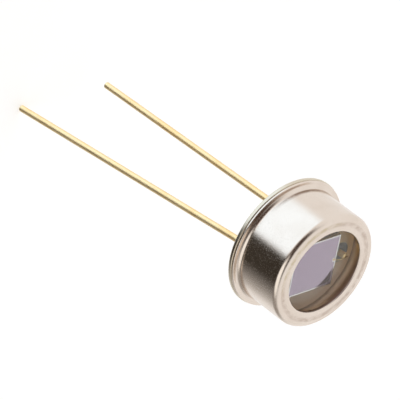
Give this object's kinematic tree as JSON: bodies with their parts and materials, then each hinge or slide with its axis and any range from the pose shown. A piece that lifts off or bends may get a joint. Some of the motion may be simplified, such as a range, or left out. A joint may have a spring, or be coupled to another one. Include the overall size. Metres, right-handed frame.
{
  "type": "photodiode",
  "caption": "Photodiode in a round metal can: gold-plated header with straight leads, nickel cap with a flat glass window, and a square silicon chip that turns light into current.",
  "frame": {"origin": "centre of the seating plane, the underside of the header", "axes": "+Z is the optical axis, out through the window; the leads lie on the X axis with the anode at +X, and run towards -Z"},
  "size_m": [0.0092, 0.0092, 0.0258],
  "materials": {
    "header_gold": "satin gold plating over iron-nickel alloy",
    "seal_glass": "dark sealing glass, glossy",
    "lead_gold": "bright gold plating",
    "silver_bed": "silver-filled adhesive, dull",
    "silicon": "polished silicon with a lavender anti-reflection film",
    "contact_metal": "bright metal film",
    "wire_gold": "bright gold wire",
    "cap_nickel": "satin nickel plating over drawn steel",
    "window_glass": "clear polished glass"
  },
  "bodies": {
    "root": {"header": "header_gold", "glass_bead": "seal_glass", "anode_lead": "lead_gold", "cathode_lead": "lead_gold", "die_attach": "silver_bed", "silicon_chip": "silicon", "contact_frame": "contact_metal", "bond_wire": "wire_gold", "cap": "cap_nickel", "window": "window_glass"}
  },
  "joints": []
}
